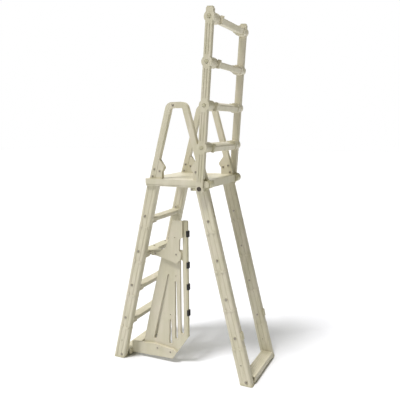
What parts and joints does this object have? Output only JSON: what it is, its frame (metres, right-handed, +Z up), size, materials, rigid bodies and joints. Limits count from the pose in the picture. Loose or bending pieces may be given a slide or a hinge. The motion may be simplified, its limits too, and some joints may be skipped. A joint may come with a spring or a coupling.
{
  "type": "pool ladder",
  "caption": "A-frame pool ladder with raised swing-up outer steps, a standing deck, loop handrails and a slotted swim-through barrier under the deck.",
  "frame": {"origin": "on the ground, midway between the four feet", "axes": "+Z up; +X out over the garden side, -X into the pool; -Y is the left of a climber who faces the pool"},
  "size_m": [1.0926, 0.602, 2.4023],
  "materials": {
    "resin": "satin moulded resin",
    "resin_fitting": "satin moulded resin",
    "dark_plastic": "matte",
    "rubber": "matte black rubber",
    "screw": "dull stainless steel"
  },
  "bodies": {
    "ladder_frame": {"pool_left_boot": "resin", "pool_left_tubes": "resin", "pool_left_top": "resin", "pool_right_boot": "resin", "pool_right_tubes": "resin", "pool_right_top": "resin", "outer_left_boot": "resin", "outer_left_tubes": "resin", "outer_left_top": "resin", "outer_right_boot": "resin", "outer_right_tubes": "resin", "outer_right_top": "resin", "foot_pads": "resin_fitting", "pool_step_1": "resin", "pool_step_2": "resin", "pool_step_3": "resin", "pool_step_4": "resin", "pool_base_rung": "resin", "outer_base_rung": "resin", "base_rung_screws": "screw", "pool_leg_screws": "screw", "outer_leg_screws": "screw", "deck": "resin", "hinge_bracket_left": "resin_fitting", "hinge_bracket_right": "resin_fitting", "hinge_bracket_bolts": "screw", "hinge_pins": "screw", "rest_pads": "resin_fitting", "handrail_left": "resin", "handrail_right": "resin", "handrail_stubs": "resin_fitting", "handrail_gussets": "resin", "handrail_bolts": "screw", "barrier_arm": "resin", "barrier_lower": "resin", "barrier_upper": "resin", "barrier_edge_guard": "resin_fitting", "barrier_bumpers": "rubber", "barrier_clamps": "resin_fitting", "barrier_screws": "screw"},
    "swing_section": {"swing_rail_left": "resin", "swing_rail_right": "resin", "rail_caps": "resin_fitting", "hinge_bushes": "dark_plastic", "swing_step_1": "resin", "swing_step_2": "resin", "swing_step_3": "resin", "swing_step_4": "resin", "step_sockets_left": "resin", "step_sockets_right": "resin", "step_bolts": "resin_fitting"},
    "left_lock": {"lock_bolt_left": "dark_plastic"},
    "right_lock": {"lock_bolt_right": "dark_plastic"}
  },
  "joints": [
    {"name": "swing_hinge", "type": "hinge", "parent": "ladder_frame", "child": "swing_section", "pos_m": [0.23497, 0, 1.32515], "axis": [0, 1, 0], "range_deg": [0, 162.68]},
    {"name": "left_lock_slide", "type": "slide", "parent": "swing_section", "child": "left_lock", "axis": [0, 1, 0], "range_m": [0, 0.0115]},
    {"name": "right_lock_slide", "type": "slide", "parent": "swing_section", "child": "right_lock", "axis": [0, -1, 0], "range_m": [0, 0.0115]}
  ]
}
